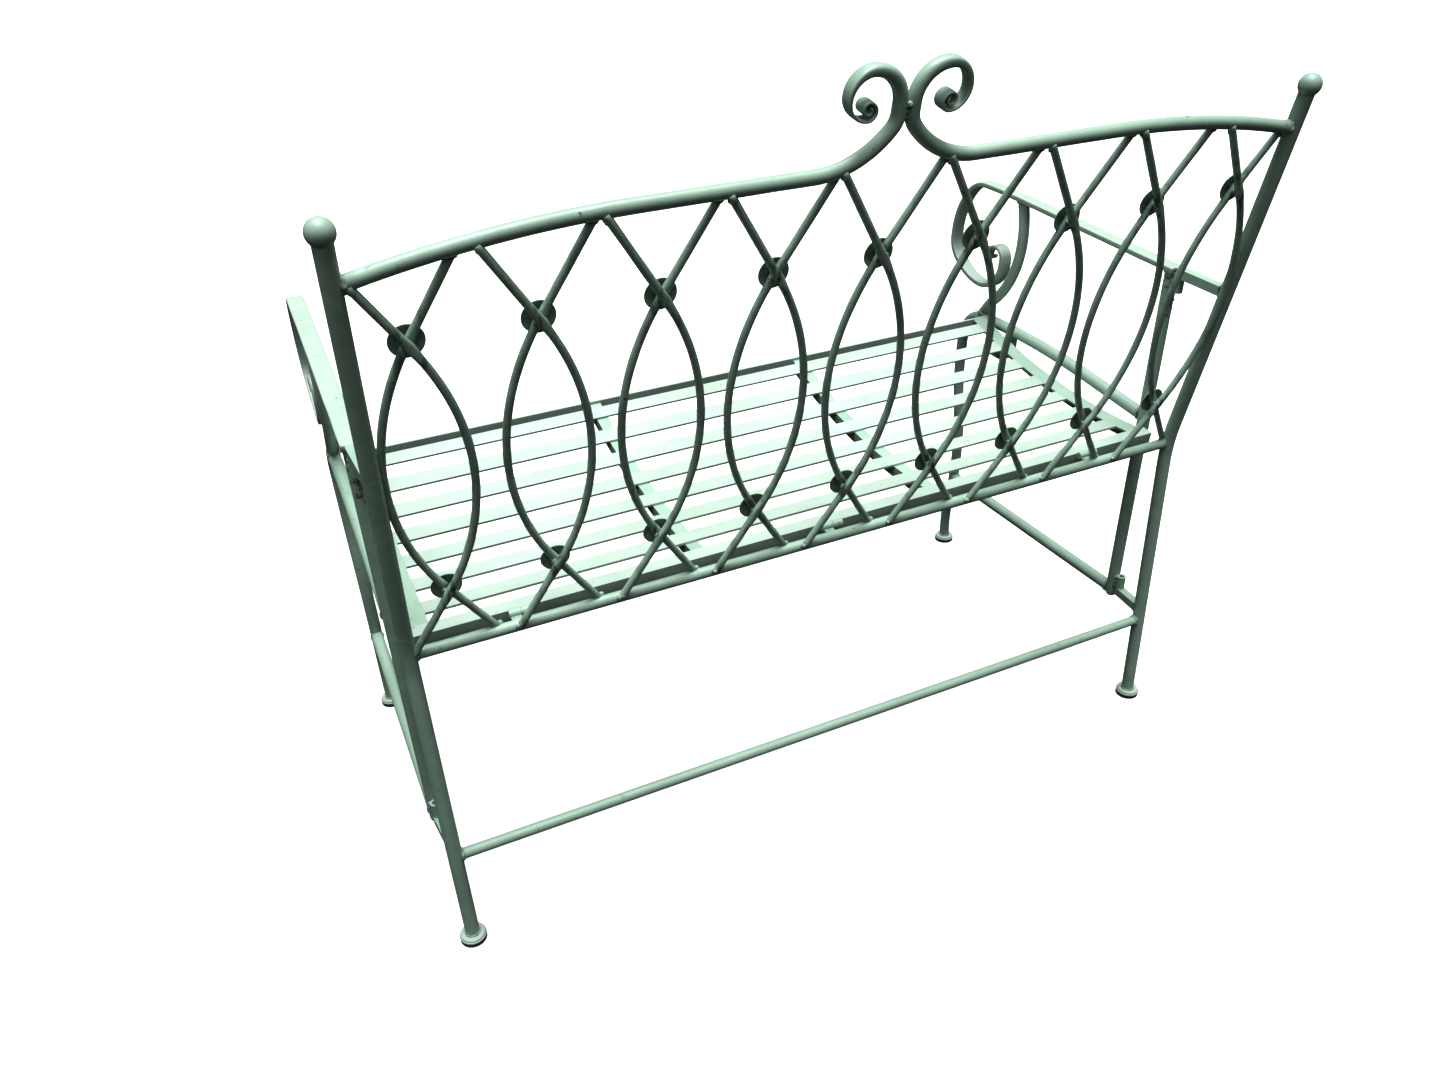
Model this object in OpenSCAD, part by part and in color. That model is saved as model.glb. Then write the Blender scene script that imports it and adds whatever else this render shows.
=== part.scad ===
// Folding wrought iron garden bench: two post back frame with a lattice of bowed rods,
// a dished slatted seat that flips up on barrel hinges, and two arm frames on upright pins.
// Millimetres. Width along X, front towards -Y, floor at Z = 0, origin under the middle.

/* [Overall] */
// distance between the axes of the two back posts
post_spacing = 1000; // [700:10:1600]
// height of the bottom rail, where the posts change from leg to leaning back
rail_height = 413; // [330:1:470]
// backward lean of the back, degrees from upright
back_lean = 11.06; // [0:0.1:20]
// backward splay of the legs below the bottom rail, degrees
leg_splay = 2.8; // [0:0.1:8]
// radius of the post bars
post_r = 8.5; // [6:0.1:15]
// bend radius of the posts at the bottom rail
post_bend = 250; // [60:5:400]

/* [Back lattice] */
// number of crossing rod pairs
pair_count = 9; // [3:1:13]
// distance between neighbouring pairs
pair_pitch = 112.5; // [80:0.5:150]
// radius of the lattice rods
rod_r = 4; // [2.5:0.1:7]
// angle of the straight rod ends, degrees from the pair's centre line
rod_angle = 31.5; // [15:0.5:45]
// bend radius of the bowed middle of a rod
rod_bend = 270; // [150:1:500]
// height of the middle of the bow above the bottom rail, along the back
bow_middle = 217; // [120:1:300]
// distance of each rod layer from the middle plane of the back
layer_offset = 4.05; // [2.6:0.05:7.1]
// radius of the domed rosettes on the crossings
rosette_r = 16; // [8:0.5:25]
// radius of the bottom rail and of the rear stretcher
rail_r = 6.5; // [4:0.1:12]
// height of the rear stretcher above the floor
stretcher_height = 133; // [60:1:250]

/* [Top rail] */
// radius of the top rail bar
top_r = 7; // [4:0.1:12]
// height of the level part of the top rail above the bottom rail, along the back
top_level = 448.8; // [350:0.1:600]
// width of the flat strip that forms the curl of each scroll
strip_w = 14; // [8:0.5:25]
// thickness of that strip
strip_t = 3; // [1.5:0.1:6]
// radius of the ball finials
finial_r = 12; // [8:0.5:20]
// height of the finial centres above the bottom rail, along the back
finial_level = 466; // [380:1:620]

/* [Seat] */
// half of the seat width
seat_half = 491; // [330:1:780]
// front to back length of the seat, edge to edge
seat_depth = 377.7; // [300:0.1:450]
// rise of the seat towards the front, degrees
seat_tilt = 5.72; // [0:0.1:10]
// depth of the seat's dish at its middle
seat_sag = 20; // [4:0.5:30]
// number of slats
slat_count = 7; // [4:1:10]
// width of a slat
slat_w = 24; // [15:0.5:45]
// width of the slat nearest the front
front_slat_w = 20; // [12:0.5:45]
// distance from one slat to the next
slat_pitch = 50.1; // [30:0.1:70]
// distance from the front edge to the first slat
first_slat = 14.5; // [8:0.5:30]
// width of the top leg of the rear angle bar
rear_flange_w = 16.5; // [8:0.5:30]
// thickness of slats and angle bars
sheet = 3; // [2:0.1:5]
// width of the top leg of the side angle bars
flange_w = 22; // [12:0.5:35]
// height of the front and rear bars
bar_h = 25; // [15:0.5:40]
// distance of the two cross members from the middle
cross_x = 158; // [80:1:300]
// width and depth of the cross members' angle section
cross_w = 16; // [12:0.5:35]

/* [Arm frames] */
// distance of the arm frames from the middle of the bench
side_x = 505; // [350:1:800]
// radius of the arm frame bars
side_r = 8.5; // [6:0.1:12]
// distance of the rear uprights in front of the back posts
upright_y = 51; // [40:0.5:70]
// width of the flat arm bar
arm_w = 20; // [14:0.5:30]
// thickness of the arm bar
arm_t = 8; // [4:0.5:12]
// radius of the curved support under the arm
support_r = 8; // [5:0.1:11]

/* [Hinges and feet] */
// outer radius of the upright knuckles
knuckle_r = 6.2; // [5:0.05:10]
// radius of the upright hinge pins
pin_r = 3.45; // [2:0.05:5]
// radial clearance between pins and knuckles
pin_gap = 0.05; // [0.02:0.01:0.1]
// length of an upright knuckle
knuckle_h = 19; // [10:0.5:40]
// thickness of the square hinge stubs
stub_t = 12; // [8:0.5:20]
// outer radius of the seat hinge barrels
barrel_r = 4.5; // [3:0.1:8]
// length of one seat hinge barrel
barrel_len = 13; // [8:0.5:40]
// distance of the outer seat hinges from the middle
seat_hinge_x = 377; // [200:1:450]
// radius of the foot discs
foot_r = 16; // [12:0.5:30]
// thickness of a foot disc
disc_t = 5.5; // [4.5:0.1:9]
// thickness of a rubber foot pad
pad_t = 4.5; // [2:0.1:8]

/* [Hidden] */
$fn = 48;
post_x = post_spacing / 2;
// the bench reaches from the front of the arm scrolls to the rear of the top scrolls
bench_middle = 198.5;
arc_half = rod_bend * sin(rod_angle);
arc_bulge = rod_bend * (1 - cos(rod_angle));
upper_cross = bow_middle + arc_half;
lower_cross = bow_middle - arc_half;
rod_slope = tan(rod_angle);
rear_foot_y = rail_height * tan(leg_splay);
foot_top = disc_t + pad_t;
bite = 1.5;
seating = 1;
ball_sink = 8;
rod_sink = 2;
over = 1;
end_inset = 1;
gap = 0.1;
collar = 1.6;
collar_scale = 1.015;
dome_r = 30;
dome_h = 5;
dome_t = 1.6;
boss_r = 4;
foot_edge = 1.5;
foot_step = 1.2;

// top rail: outer end, end of the long bow and start of the centre rise, measured from the middle
top_end_x = post_x - post_r + bite;
top_flat_x = 250;
top_rise_x = 85;
top_bow_r = 1100;
top_rise_r = 95;
top_end_angle = asin((top_end_x - top_flat_x) / top_bow_r);
top_steps = [
  [-top_bow_r, top_end_angle], [0, top_flat_x - top_rise_x], [top_rise_r, 50], [21.8, 40],
  [0, 8.4], [31, 90], [22.5, 90], [19, 90], [6.5, 180], [3.5, 180], [2.5, 90]
];
tube_steps = 6;

// seat, in its own tilted frame: y = 0 at the rear edge, z = 0 on the line through both edges
seat_rear_y = -20;
seat_rear_z = 420;
dish_r = (seat_depth * seat_depth / 4 + seat_sag * seat_sag) / (2 * seat_sag);
seat_axis_y = -13;
seat_axis_z = 420.5;
seat_pin_r = 2.45;
barrel_gap = 0.2;
tongue_t = 3;

// arm frames, drawn flat: first number forwards from the back posts, second number up
pin_y = -upright_y + side_r + knuckle_r + gap;
knuckle_play = 0.3;
upper_pin_len = 23;
lower_stub_z = 156;
upper_stub_z = 625.5;
upright_low = 142;
upright_high = 629.5;
arm_start = [43, 632.9];
arm_steps = [
  [0, 305.5], [-1565, 3], [-56, 45], [-114, 45], [-37, 45], [-95, 45],
  [-47.5, 90], [0, 4], [-15, 90], [-28, 60], [-5, 200]
];
arm_rise = 3;
support_steps = [[150, 66], [-150, 18]];
support_start = [349, 642];
support_heading = -108;
seat_rail_start = [upright_y + side_r - bite, 428.9];
seat_rail_steps = [[0, 115.7], [-1420, 9.8]];
seat_rail_heading = 6.1;
leg_start = [415.5, 446.1];
leg_steps = [[-52, 82.3], [0, 16.3], [-420, 14], [500, 22], [-240, 14], [0, 22.3]];
leg_heading = -3.7;
front_foot_y = 467.4;
stretcher_rear_z = 146;
stretcher_front_z = 136;
stretcher_front_y = 455;
lug_y = 340;
lug_w = 24;
lug_t = 4;
lug_h = 32;
lug_reach = 476;
lug_clearance = 1;

function rail_s(x) =
  abs(x) >= top_flat_x ?
    top_level - top_bow_r + sqrt(top_bow_r * top_bow_r - pow(abs(x) - top_flat_x, 2)) :
  abs(x) >= top_rise_x ? top_level :
    top_level + top_rise_r - sqrt(top_rise_r * top_rise_r - pow(top_rise_x - abs(x), 2));
function rod_top(x, side, s) = rail_s(x + side * (s - upper_cross) * rod_slope) - rod_sink;
function pair_x(i) = (i - (pair_count + 1) / 2) * pair_pitch;
// height of the lower edge of the side angles, a distance q in front of the seat's rear edge
function flange_low(q) =
  seat_rear_z + q * tan(seat_tilt) + (dish_r - seat_sag
    - sqrt(pow(dish_r + flange_w, 2) - pow(seat_depth / 2 - q / cos(seat_tilt), 2))) / cos(seat_tilt);

// which subassembly to draw

paint = [0.70, 0.84, 0.76];
rubber = [0.08, 0.08, 0.08];

module in_place() {
  translate([0, bench_middle, 0]) children();
}

// frame lying in the plane of the back: X as the bench, Z along the back
module back_plane() {
  translate([0, 0, rail_height]) rotate([-back_lean, 0, 0]) children();
}

// frame of an upright drawing on an arm frame: x forwards, y up, z towards the right
module side_plane(side, x = side_x) {
  translate([side * x, 0, 0]) rotate([90, 0, -90]) children();
}

module seat_plane() {
  translate([0, seat_rear_y, seat_rear_z]) rotate([-seat_tilt, 0, 0]) children();
}

// runs a flat outline along straight lines [0, length] and arcs [radius, angle],
// a positive radius turning left and a negative one right; a slightly fuller short collar
// closes each joint between two pieces
module sweep(steps, first, last, i = 0) {
  if (i <= last && i < len(steps)) {
    radius = steps[i][0];
    amount = steps[i][1];
    if (i > first)
      translate([-collar / 2, 0, 0]) rotate([90, 0, 90])
        linear_extrude(collar) scale(collar_scale) children();
    if (radius == 0) {
      if (i >= first) rotate([90, 0, 90]) linear_extrude(amount) children();
      translate([amount, 0, 0]) sweep(steps, first, last, i + 1) children();
    } else {
      r = abs(radius);
      turn = sign(radius);
      if (i >= first)
        mirror([0, turn < 0 ? 1 : 0, 0]) translate([0, r, 0]) rotate([0, 0, -90])
          rotate_extrude(angle = amount) translate([r, 0]) children();
      translate([0, turn * r, 0]) rotate([0, 0, turn * amount]) translate([0, -turn * r, 0])
        sweep(steps, first, last, i + 1) children();
    }
  }
}

module bar(a, b, r) {
  d = b - a;
  translate(a)
    rotate([0, acos(d[2] / norm(d)), atan2(d[1], d[0])])
      cylinder(h = norm(d), r = r);
}

// a leg that splays backwards, bends at the bottom rail and goes on as the leaning back post
module post(side) {
  turn = leg_splay + back_lean;
  tangent = post_bend * tan(turn / 2);
  drop = rail_height - foot_top + seating;
  steps = [
    [0, drop / cos(leg_splay) - tangent], [post_bend, turn], [0, finial_level - ball_sink - tangent]
  ];
  color(paint)
    mirror([side < 0 ? 1 : 0, 0, 0])
      side_plane(1, post_x) translate([-drop * tan(leg_splay), foot_top - seating])
        rotate(90 - leg_splay) sweep(steps, 0, len(steps)) circle(post_r);
}

module finials() {
  color(paint)
    for (side = [-1, 1])
      back_plane() translate([side * post_x, 0, finial_level]) sphere(finial_r);
}

module bottom_rail() {
  reach = post_x - post_r + 2 * bite;
  color(paint) bar([-reach, 0, rail_height], [reach, 0, rail_height], rail_r);
}

module rear_stretcher() {
  reach = post_x - post_r + bite;
  y = (rail_height - stretcher_height) * tan(leg_splay);
  color(paint) bar([-reach, y, stretcher_height], [reach, y, stretcher_height], rail_r);
}

module top_rail(side) {
  color(paint)
    mirror([side < 0 ? 1 : 0, 0, 0])
      back_plane()
        translate([top_end_x, 0, rail_s(top_end_x)])
          rotate([90, 0, 180])
            mirror([0, 0, 1])
              rotate([0, 0, top_end_angle]) {
                sweep(top_steps, 0, tube_steps - 1) circle(top_r);
                sweep(top_steps, tube_steps, len(top_steps)) square([strip_t, strip_w], center = true);
              }
}

// one bowed rod: side is where both its ends point, layer is in front (-1) or behind (1)
module lattice_rod(i, side, layer) {
  x = pair_x(i);
  top = rod_top(x, side, rod_top(x, side, rod_top(x, side, top_level)));
  end_len = (lower_cross - rod_sink) / cos(rod_angle);
  color(paint)
    back_plane() translate([x, layer * layer_offset, bow_middle]) mirror([side > 0 ? 1 : 0, 0, 0]) {
      translate([arc_bulge - rod_bend, 0, 0])
        rotate([90, 0, 0]) rotate([0, 0, -rod_angle])
          rotate_extrude(angle = 2 * rod_angle) translate([rod_bend, 0]) circle(rod_r);
      translate([0, 0, arc_half]) rotate([0, -rod_angle, 0])
        cylinder(h = (top - upper_cross) / cos(rod_angle), r = rod_r);
      translate([0, 0, -arc_half]) rotate([0, 180 + rod_angle, 0])
        cylinder(h = end_len, r = rod_r);
      for (end = [-1, 1])
        translate([0, 0, end * arc_half]) rotate([0, -end * rod_angle, 0])
          translate([0, 0, -collar / 2]) cylinder(h = collar, r = rod_r * collar_scale);
    }
}

// thin domes, hollow towards the rods, each on a short boss
module rosettes() {
  front = -layer_offset - rod_r - gap;
  color(paint)
    for (i = [1:pair_count], s = [lower_cross, upper_cross])
      back_plane() translate([pair_x(i), front, s]) rotate([90, 0, 0]) {
        difference() {
          translate([0, 0, dome_h - dome_r]) intersection() {
            sphere(dome_r);
            translate([0, 0, dome_r - dome_h]) cylinder(h = dome_h + over, r = rosette_r);
          }
          translate([0, 0, dome_h - dome_r]) sphere(dome_r - dome_t);
        }
        cylinder(h = dome_h + dome_t, r = boss_r);
      }
}

// a square bar from the post forwards to a rounded nose under the upright's pin
module stub(side, z) {
  reach = pin_y;
  back_x = side * post_x;
  nose_x = side * side_x;
  back_y = z > rail_height ? (z - rail_height) * tan(back_lean) : (rail_height - z) * tan(leg_splay);
  run = back_y - reach - post_r + bite;
  yaw = atan2(back_x - nose_x, back_y - reach);
  translate([nose_x, reach, z]) rotate([0, 0, -yaw]) {
    cylinder(h = stub_t, d = stub_t);
    translate([-stub_t / 2, 0, 0]) cube([stub_t, run, stub_t]);
  }
}

module stubs(side) {
  color(paint) {
    stub(side, lower_stub_z - stub_t);
    stub(side, upper_stub_z);
  }
}

module side_pins() {
  color(paint)
    for (side = [-1, 1]) {
      translate([side * side_x, pin_y, lower_stub_z - stub_t / 2])
        cylinder(h = knuckle_h, r = pin_r);
      translate([side * side_x, pin_y, upper_stub_z + stub_t / 2 - upper_pin_len])
        cylinder(h = upper_pin_len, r = pin_r);
    }
}

module knuckle(side, z) {
  translate([side * side_x, pin_y, z])
    difference() {
      cylinder(h = knuckle_h, r = knuckle_r);
      translate([0, 0, -over]) cylinder(h = knuckle_h + 2 * over, r = pin_r + pin_gap);
    }
}

module knuckles(side) {
  color(paint) {
    knuckle(side, lower_stub_z + knuckle_play);
    knuckle(side, upper_stub_z - knuckle_play - knuckle_h);
  }
}

module upright(side) {
  color(paint)
    translate([side * side_x, -upright_y, upright_low]) {
      cylinder(h = upright_high - upright_low, r = side_r);
      sphere(side_r);
    }
}

module seat_rail(side) {
  color(paint)
    side_plane(side) translate(seat_rail_start) rotate(seat_rail_heading)
      sweep(seat_rail_steps, 0, len(seat_rail_steps)) circle(side_r);
}

module front_leg(side) {
  color(paint)
    side_plane(side) translate(leg_start) rotate(leg_heading)
      sweep(leg_steps, 0, len(leg_steps)) circle(side_r);
}

module stretcher(side) {
  x = side * side_x;
  color(paint)
    bar([x, -upright_y - side_r + bite, stretcher_rear_z],
        [x, -stretcher_front_y + side_r - bite, stretcher_front_z], side_r);
}

module arm(side) {
  color(paint)
    side_plane(side) translate(arm_start) rotate(arm_rise)
      sweep(arm_steps, 0, len(arm_steps)) square([arm_t, arm_w], center = true);
}

module arm_support(side) {
  color(paint)
    side_plane(side) translate(support_start) rotate(support_heading)
      sweep(support_steps, 0, len(support_steps)) circle(support_r);
}

// strap under the seat rail and the tab on it that carries the seat when it is down
module rest_lug(side) {
  z = flange_low(lug_y + seat_rear_y - lug_w / 2) - lug_clearance;
  color(paint)
    mirror([side < 0 ? 1 : 0, 0, 0]) translate([0, -lug_y - lug_w / 2, z - lug_t]) {
      translate([lug_reach, 0, 0]) cube([side_x - lug_t - gap - lug_reach, lug_w, lug_t]);
      translate([side_x - lug_t, 0, 0]) cube([lug_t, lug_w, lug_h]);
    }
}

// round foot in two tiers, each with a rolled edge
module foot_disc(x, y) {
  translate([x, y, pad_t])
    rotate_extrude() {
      square([foot_r - foot_edge, 2 * foot_edge]);
      translate([foot_r - foot_edge, foot_edge]) circle(foot_edge);
      square([foot_r - foot_step - foot_edge, disc_t]);
      translate([foot_r - foot_step - foot_edge, disc_t - foot_edge]) circle(foot_edge);
    }
}

module foot_pad(x, y) {
  translate([x, y, 0]) cylinder(h = pad_t - gap, r = foot_r - gap);
}

// part of the dished seat surface between two distances from the front edge
module dished(d0, d1, x0, x1, depth, drop = 0) {
  a0 = asin((d0 - seat_depth / 2) / dish_r);
  a1 = asin((d1 - seat_depth / 2) / dish_r);
  seat_plane() translate([0, -seat_depth / 2, dish_r - seat_sag]) rotate([0, 90, 0])
    rotate([0, 0, a0]) rotate_extrude(angle = a1 - a0)
      translate([dish_r + drop, x0]) square([depth, x1 - x0]);
}

// cuts everything off at the back of the front bar
module behind_front() {
  difference() {
    children();
    seat_plane() translate([-seat_half - over, -seat_depth - bar_h, -2 * bar_h])
      cube([2 * (seat_half + over), bar_h + sheet + gap, 4 * bar_h]);
  }
}

module seat_side(side) {
  rear = seat_depth - rear_flange_w - gap;
  color(paint) mirror([side < 0 ? 1 : 0, 0, 0]) behind_front() {
    dished(sheet, rear, seat_half - flange_w, seat_half, sheet);
    dished(sheet, rear, seat_half - sheet, seat_half, flange_w);
  }
}

module end_bar(y) {
  seat_plane() translate([-seat_half, y, -bar_h]) cube([2 * seat_half, sheet, bar_h]);
}

module seat_front() {
  color(paint) end_bar(-seat_depth);
}

module seat_rear() {
  color(paint) {
    end_bar(-sheet);
    seat_plane() translate([-seat_half, -rear_flange_w, -sheet])
      cube([2 * seat_half, rear_flange_w, sheet]);
  }
}

module slats() {
  reach = seat_half - flange_w - gap;
  color(paint)
    for (i = [0:slat_count - 1]) {
      rear = first_slat + front_slat_w + i * slat_pitch;
      dished(rear - (i == 0 ? front_slat_w : slat_w), rear, -reach, reach, sheet);
    }
}

module cross_members() {
  back = seat_depth - rear_flange_w - gap;
  color(paint)
    for (x = [-cross_x, cross_x])
      behind_front() {
        dished(sheet, back, x - cross_w / 2, x + cross_w / 2, sheet, sheet + gap);
        dished(sheet, back, x + cross_w / 2 - sheet, x + cross_w / 2, cross_w, sheet + gap);
      }
}

module barrel(x) {
  translate([x, seat_axis_y, seat_axis_z]) rotate([0, 90, 0])
    cylinder(h = barrel_len, r = barrel_r);
}

// a flat tongue under a barrel, from its axis to a distance y across
module tongue(x, y) {
  translate([x + end_inset, min(seat_axis_y, y), seat_axis_z - barrel_r])
    cube([barrel_len - 2 * end_inset, abs(y - seat_axis_y), tongue_t]);
}

// barrels on the bottom rail, each with a tongue welded to the rail
module rail_barrels() {
  color(paint)
    for (x = [-seat_hinge_x, 0, seat_hinge_x]) {
      barrel(x + barrel_gap);
      tongue(x + barrel_gap, 0);
    }
}

// barrels on the rear edge of the seat
module seat_barrels() {
  color(paint)
    for (x = [-seat_hinge_x, 0, seat_hinge_x])
      difference() {
        union() {
          barrel(x - barrel_len - barrel_gap);
          tongue(x - barrel_len - barrel_gap, seat_rear_y - seating);
        }
        translate([x - barrel_len - over, seat_axis_y, seat_axis_z]) rotate([0, 90, 0])
          cylinder(h = barrel_len + 2 * over, r = seat_pin_r + pin_gap);
      }
}

module seat_pins() {
  color(paint)
    for (x = [-seat_hinge_x, 0, seat_hinge_x])
      translate([x - barrel_len + end_inset, seat_axis_y, seat_axis_z]) rotate([0, 90, 0])
        cylinder(h = 2 * (barrel_len - end_inset), r = seat_pin_r);
}

module rear_feet() {
  color(paint) for (side = [-1, 1]) foot_disc(side * post_x, rear_foot_y);
}

module rear_pads() {
  color(rubber) for (side = [-1, 1]) foot_pad(side * post_x, rear_foot_y);
}

module front_foot(side) {
  color(paint) foot_disc(side * side_x, -front_foot_y);
}

module front_pad(side) {
  color(rubber) foot_pad(side * side_x, -front_foot_y);
}

in_place() post(1);  // post_left
in_place() post(-1);  // post_right
in_place() finials();
in_place() bottom_rail();
in_place() rear_stretcher();
in_place() top_rail(1);  // top_rail_left
in_place() top_rail(-1);  // top_rail_right
for (i = [1:pair_count]) {
  in_place() lattice_rod(i, 1, 1);
  in_place() lattice_rod(i, -1, -1);
}
in_place() rosettes();
in_place() stubs(1);  // stubs_left
in_place() stubs(-1);  // stubs_right
in_place() side_pins();
in_place() rail_barrels();
in_place() seat_pins();
in_place() rear_feet();
in_place() rear_pads();
in_place() seat_side(1);  // seat_side_left
in_place() seat_side(-1);  // seat_side_right
in_place() seat_front();
in_place() seat_rear();
in_place() slats();
in_place() cross_members();
in_place() seat_barrels();
for (s = [[1, "left"], [-1, "right"]]) {
  in_place() upright(s[0]);
  in_place() seat_rail(s[0]);
  in_place() front_leg(s[0]);
  in_place() stretcher(s[0]);
  in_place() arm(s[0]);
  in_place() arm_support(s[0]);
  in_place() knuckles(s[0]);
  in_place() rest_lug(s[0]);
  in_place() front_foot(s[0]);
  in_place() front_pad(s[0]);
}
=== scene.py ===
"""Looks of the folding garden bench: hand-worked painted bars, welds, rosettes and feet,
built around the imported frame."""

import math
import random

import bmesh
import bpy
from mathutils import Matrix, Vector, noise


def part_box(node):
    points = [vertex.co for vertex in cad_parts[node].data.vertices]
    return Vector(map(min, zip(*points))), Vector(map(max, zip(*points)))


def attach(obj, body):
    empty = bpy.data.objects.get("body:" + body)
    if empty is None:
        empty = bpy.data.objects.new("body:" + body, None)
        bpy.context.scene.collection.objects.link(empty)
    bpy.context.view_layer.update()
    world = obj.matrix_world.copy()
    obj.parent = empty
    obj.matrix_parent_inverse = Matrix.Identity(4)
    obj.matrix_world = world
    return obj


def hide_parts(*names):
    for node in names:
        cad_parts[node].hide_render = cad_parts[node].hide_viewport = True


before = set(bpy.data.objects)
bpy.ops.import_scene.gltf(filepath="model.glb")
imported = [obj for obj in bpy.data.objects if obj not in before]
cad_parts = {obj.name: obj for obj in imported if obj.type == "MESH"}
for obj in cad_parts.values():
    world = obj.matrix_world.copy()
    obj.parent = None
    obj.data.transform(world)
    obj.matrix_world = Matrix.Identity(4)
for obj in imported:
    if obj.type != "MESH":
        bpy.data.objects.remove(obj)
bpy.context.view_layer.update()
MM = 0.001

# The bench's own measures, in millimetres as in the part's source. A place on the back is x
# across, s up along the leaning back from its bottom rail, and n behind its middle plane.
DEPTH_SHIFT = 198.5             # y of the bottom rail's middle line
RAIL_Z = 413.0                  # and its height
LEAN = math.radians(11.06)      # of the back above the rail
LEG_RAKE = math.radians(2.8)    # of the back legs below it
POST_X = 500.0
POST_SKIN = 8.6                 # from a post's middle line to the welds on it
SIDE_X = 505.0                  # plane of an arm frame
STRETCHER_Z = 133.0             # the low stretcher of the back
FOOT_TOP = 10.4
FOOT_RING = (8.4, 1.6)          # the weld round a leg on its foot: radius and bead

# the lattice
PAIRS = 9
PITCH = 112.5
LAYER = 4.05                    # n of the rear rods' middle, and -n of the front ones'
ROD_R = 4.0
ROD_SINK = 2.0                  # how far a rod's ends go past the rails' middle lines
ROD_ANGLE = 31.5                # between a rod's straight ends and upright
ROD_BEND = 270.0                # radius of its bow
BOW_MIDDLE = 217.0
SLOPE = math.tan(math.radians(ROD_ANGLE))
ARC_HALF = ROD_BEND * math.sin(math.radians(ROD_ANGLE))
UPPER = BOW_MIDDLE + ARC_HALF   # s of the upper and the lower crossings
LOWER = BOW_MIDDLE - ARC_HALF

# the top rail: bowed from its end to TOP_FLAT, level to TOP_RISE, then up into the scroll
TOP_LEVEL = 448.8
TOP_END = 493.0
TOP_FLAT = 250.0
TOP_RISE = 85.0
TOP_BOW = 1100.0
RISE_R = 95.0
TOP_R = 7.0
TOP_END_ANGLE = math.degrees(math.asin((TOP_END - TOP_FLAT) / TOP_BOW))

# lines (0, length) and arcs (radius, angle in degrees), as plane_path takes them
TOP_STEPS = [(-TOP_BOW, TOP_END_ANGLE), (0, TOP_FLAT - TOP_RISE), (RISE_R, 50), (21.8, 40),
             (0, 8.4), (31, 90), (22.5, 90), (19, 90), (8, 180), (5.2, 180), (3.2, 150)]
ARM_START, ARM_HEADING = (43, 632.9), 3
ARM_STEPS = [(0, 305.5), (-1565, 3), (-56, 45), (-114, 45), (-37, 45), (-95, 45),
             (-47.5, 90), (0, 4), (-15, 90), (-28, 60), (-5, 200)]


def rail_s(x):
    """Height of the top rail's middle line along the back, at x from the bench's middle."""
    x = abs(x)
    if x >= TOP_FLAT:
        return TOP_LEVEL - TOP_BOW + math.sqrt(TOP_BOW ** 2 - (x - TOP_FLAT) ** 2)
    if x >= TOP_RISE:
        return TOP_LEVEL
    return TOP_LEVEL + RISE_R - math.sqrt(RISE_R ** 2 - (TOP_RISE - x) ** 2)


def pair_x(number):
    """Place across the back of the crossings of the rod pair with this number, 1 to PAIRS."""
    return (number - (PAIRS + 1) / 2) * PITCH


def rod_top(x0, side):
    """Height along the back at which the upper end of a rod from the crossing at x0 ends."""
    top = TOP_LEVEL
    for _ in range(4):
        top = rail_s(x0 + side * (top - UPPER) * SLOPE) - ROD_SINK
    return top


def post_y(z):
    """Depth of the posts' middle lines at height z."""
    if z > RAIL_Z:
        return DEPTH_SHIFT + (z - RAIL_Z) * math.tan(LEAN)
    return DEPTH_SHIFT + (RAIL_Z - z) * math.tan(LEG_RAKE)


def on_back(x, s, n=0.0):
    """Point x across, s up along the back and n behind it, in metres."""
    return Vector((x, DEPTH_SHIFT + s * math.sin(LEAN) + n * math.cos(LEAN),
                   RAIL_Z + s * math.cos(LEAN) - n * math.sin(LEAN))) * MM


def on_side(side, forward, z, out=0.0):
    """Point of an arm frame, forward of the bottom rail and out of the frame's plane, in metres."""
    return Vector((side * (SIDE_X + out), DEPTH_SHIFT - forward, z)) * MM


def along(step, start, length):
    """0 up to start, 1 from start + length, and a straight line between."""
    return min(max((step - start) / length, 0.0), 1.0)


# ---------------------------------------------------------------- mesh helpers

FINEST_TURN = math.radians(7)   # the most that a path turns from point to point
END_LIFT = 0.12                 # a bar's end is rounded by this share of its half thickness


def new_object(name, bm, body):
    """Turns the mesh into a smooth piece that rides on a body."""
    mesh = bpy.data.meshes.new(name)
    bmesh.ops.recalc_face_normals(bm, faces=bm.faces)
    bm.to_mesh(mesh)
    bm.free()
    for p in mesh.polygons:
        p.use_smooth = True
    obj = bpy.data.objects.new(name, mesh)
    bpy.context.scene.collection.objects.link(obj)
    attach(obj, body)
    return obj


def plane_path(start, heading, steps, spacing):
    """Points, about spacing apart, along straight lines (0, length) and arcs (radius, angle), a
    positive radius turning left: (x, y, heading in radians, step number and how far through)."""
    x, y = start
    h = math.radians(heading)
    out = [(x, y, h, 0.0)]
    for number, (radius, amount) in enumerate(steps):
        length = amount if radius == 0 else abs(radius) * math.radians(amount)
        turn = 0.0 if radius == 0 else math.copysign(math.radians(amount), radius)
        count = max(4, int(length / spacing), int(abs(turn) / FINEST_TURN))
        for i in range(1, count + 1):
            step = length / count
            half = turn / count / 2
            h += half
            chord = step if turn == 0 else 2 * abs(radius) * math.sin(abs(half))
            x += chord * math.cos(h)
            y += chord * math.sin(h)
            h += half
            out.append((x, y, h, number + i / count))
    return out


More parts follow.
